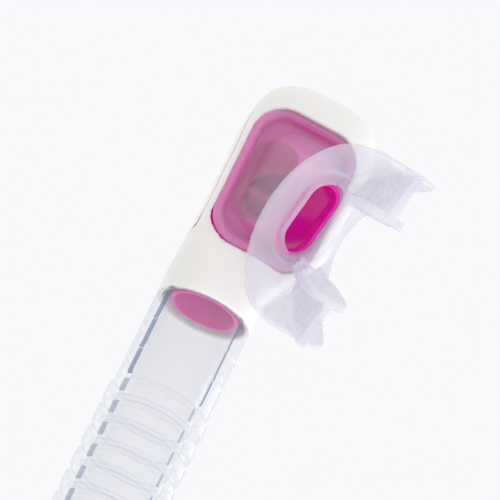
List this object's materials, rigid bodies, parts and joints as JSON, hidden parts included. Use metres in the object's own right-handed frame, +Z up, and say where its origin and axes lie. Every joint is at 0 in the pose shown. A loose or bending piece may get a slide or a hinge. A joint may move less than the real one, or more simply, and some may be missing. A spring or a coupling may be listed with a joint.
{
  "type": "flexible-hose snorkel",
  "caption": "Adult snorkel: soft mouthpiece on a casing with purge valve, clear corrugated hose, rigid barrel with strap keeper, and float-valve dry top.",
  "frame": {"origin": "centre of the barrel's grip land, on the barrel's axis", "axes": "+Z up along the barrel as it is worn, towards the dry top; -Y the way the window in the mouthpiece casing faces, towards the wearer; +X the side of the strap keeper, towards the wearer's head"},
  "size_m": [0.0695, 0.1087, 0.4088],
  "materials": {
    "white_shell": "satin",
    "pink_solid": "gloss",
    "pink_clear": "gloss, translucent",
    "clear_silicone": "satin, milky translucent",
    "clear_hose": "gloss, clear",
    "seal_rubber": "satin",
    "float_foam": "matte",
    "steel": "brushed"
  },
  "bodies": {
    "barrel": {"barrel": "white_shell", "visibility_band": "pink_solid", "hose_ring": "white_shell", "top_base": "white_shell", "valve_seat": "seal_rubber", "hinge_pin": "steel", "top_cap": "white_shell", "cap_screws": "steel"},
    "hose": {"flex_hose": "clear_hose"},
    "chamber": {"chamber_shell": "white_shell", "seam_gasket": "pink_solid", "rear_shell": "white_shell", "inner_duct": "pink_clear", "mouthpiece": "clear_silicone", "skirt_frame": "pink_clear", "collar_seal": "seal_rubber", "purge_seat": "white_shell", "purge_cover": "pink_solid", "case_screws": "steel"},
    "purge_disc": {"purge_disc": "clear_silicone"},
    "keeper": {"keeper_ring": "white_shell", "swivel_pin": "white_shell"},
    "clip": {"strap_clip": "pink_solid"},
    "float": {"float_lever": "pink_solid", "float_block": "float_foam", "seal_flap": "clear_silicone"}
  },
  "joints": [
    {"name": "hose_bend_upper", "type": "hinge", "parent": "barrel", "child": "hose", "pos_m": [0, 0, -0.132], "axis": [0, -1, 0], "range_deg": [-20, 45], "stiffness_Nm_per_rad": 0.25, "deforming": ["flex_hose"]},
    {"name": "hose_bend_lower", "type": "hinge", "parent": "hose", "child": "chamber", "pos_m": [0, 0, -0.166], "axis": [0, -1, 0], "range_deg": [-20, 45], "stiffness_Nm_per_rad": 0.25},
    {"name": "purge_lift", "type": "slide", "parent": "chamber", "child": "purge_disc", "axis": [0, 1, 0], "range_m": [0, 0.0014], "stiffness_N_per_m": 20},
    {"name": "keeper_slide", "type": "slide", "parent": "barrel", "child": "keeper", "axis": [0, 0, 1], "range_m": [-0.012, 0.012]},
    {"name": "clip_swivel", "type": "hinge", "parent": "keeper", "child": "clip", "pos_m": [0.018, 0, -0.04], "axis": [1, 0, 0], "range_deg": [-60, 60]},
    {"name": "float_swing", "type": "hinge", "parent": "barrel", "child": "float", "pos_m": [0, 0.016, 0.0935], "axis": [1, 0, 0], "range_deg": [0, 21.5]}
  ],
  "couplings": [
    {"joint": "hose_bend_lower", "follows": "hose_bend_upper", "ratio": 1}
  ]
}
